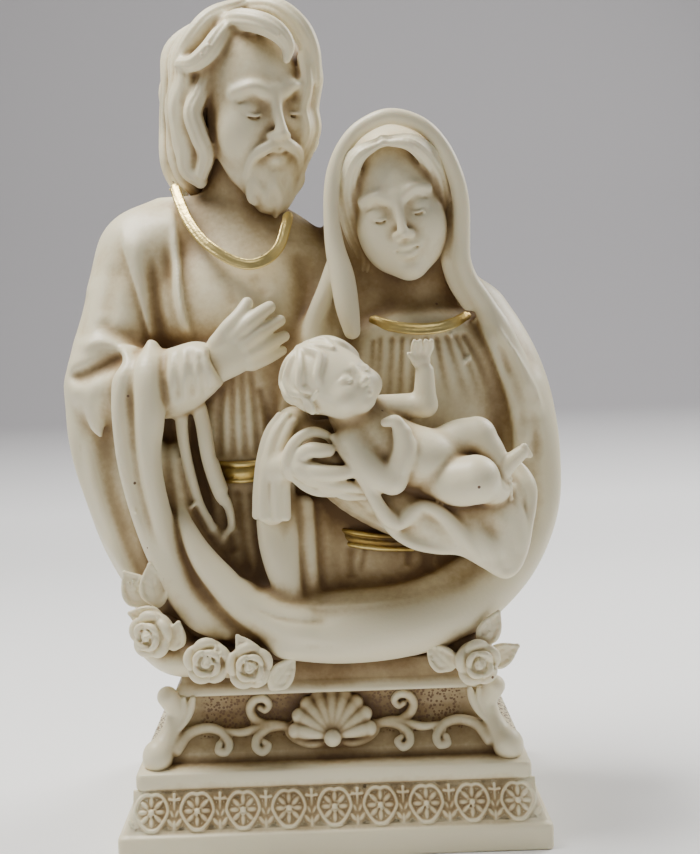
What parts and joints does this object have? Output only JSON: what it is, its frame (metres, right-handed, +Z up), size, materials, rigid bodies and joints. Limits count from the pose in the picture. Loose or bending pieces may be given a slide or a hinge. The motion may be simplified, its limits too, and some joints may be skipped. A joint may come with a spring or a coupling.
{
  "type": "holy family statue",
  "caption": "Cast resin devotional group of half-length figures with a swaddled child, in a wide mantle on a moulded pedestal.",
  "frame": {"origin": "centre of the pedestal's underside", "axes": "+Z up to the taller figure's crown, -Y the front that the figures face, +X to the viewer's right"},
  "size_m": [0.1567, 0.1052, 0.2612],
  "materials": {
    "antiqued_ivory_resin": "satin ivory cast resin with a brown wash left in the recesses"
  },
  "bodies": {
    "root": {"holy_family_statue": "antiqued_ivory_resin"}
  },
  "joints": []
}
